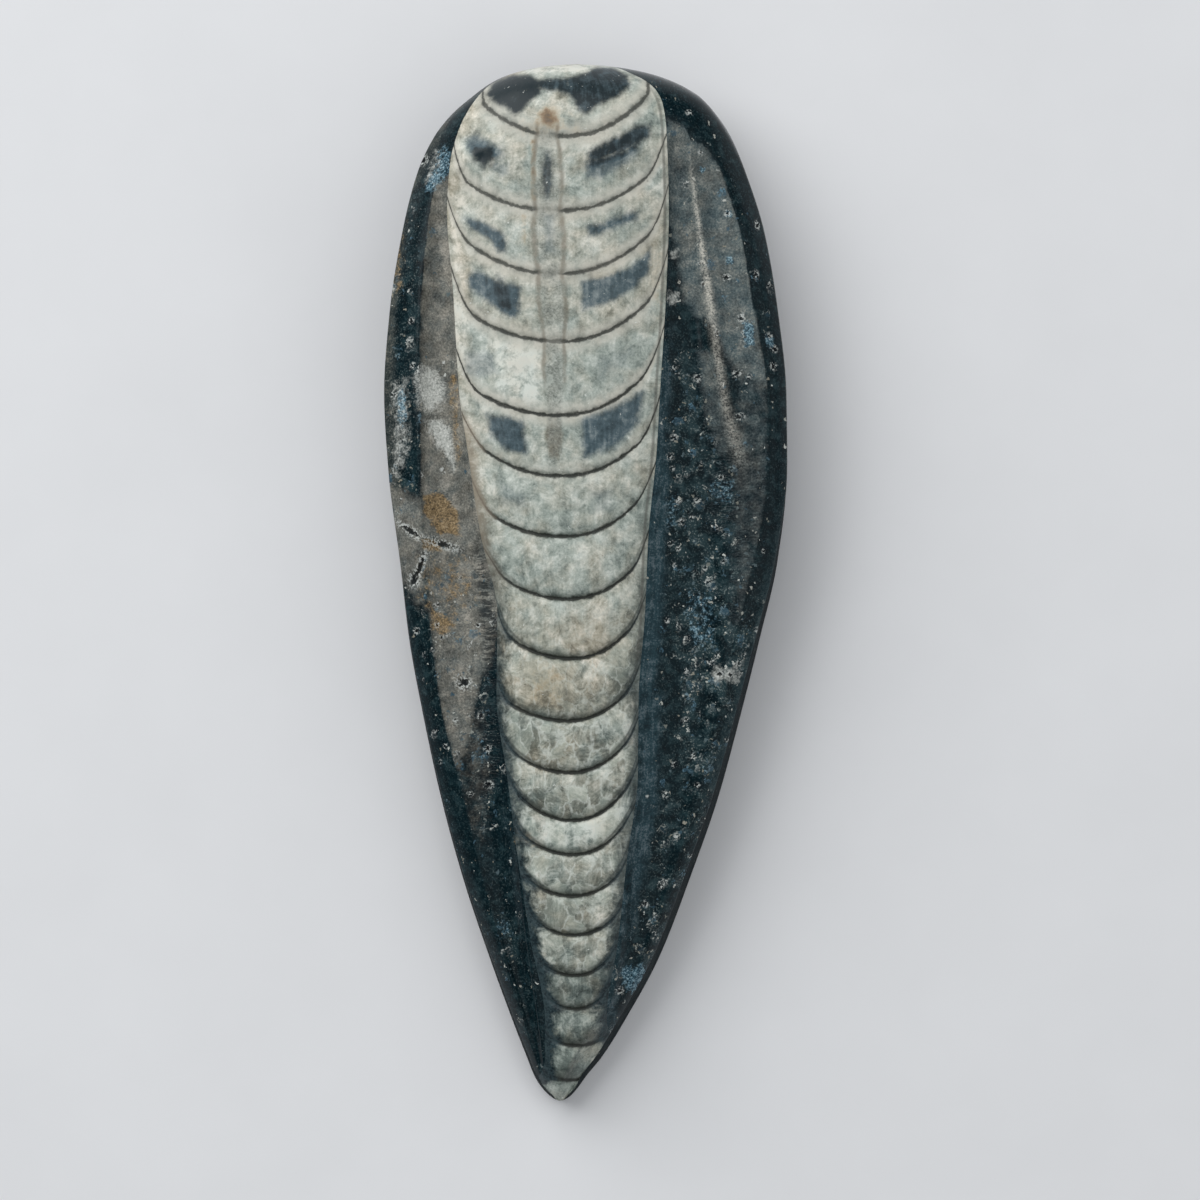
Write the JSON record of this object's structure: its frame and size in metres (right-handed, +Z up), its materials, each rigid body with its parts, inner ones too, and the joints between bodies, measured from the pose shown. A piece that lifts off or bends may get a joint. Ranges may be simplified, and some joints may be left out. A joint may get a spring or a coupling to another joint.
{
  "type": "orthoceras fossil",
  "caption": "Long pointed display stone: a pale, tapering, chambered fossil shell raised along the middle of black polished limestone with ground flutes.",
  "frame": {"origin": "centre of the stone's bounding box, on its flat sawn back", "axes": "+X to the right seen from above, +Y towards the blunt end, +Z up out of the polished face"},
  "size_m": [0.0462, 0.1184, 0.0172],
  "materials": {
    "stone": "polished black limestone round a satin pale grey-green calcite shell, with a matt sawn back"
  },
  "bodies": {
    "root": {"fossil_stone": "stone"}
  },
  "joints": []
}
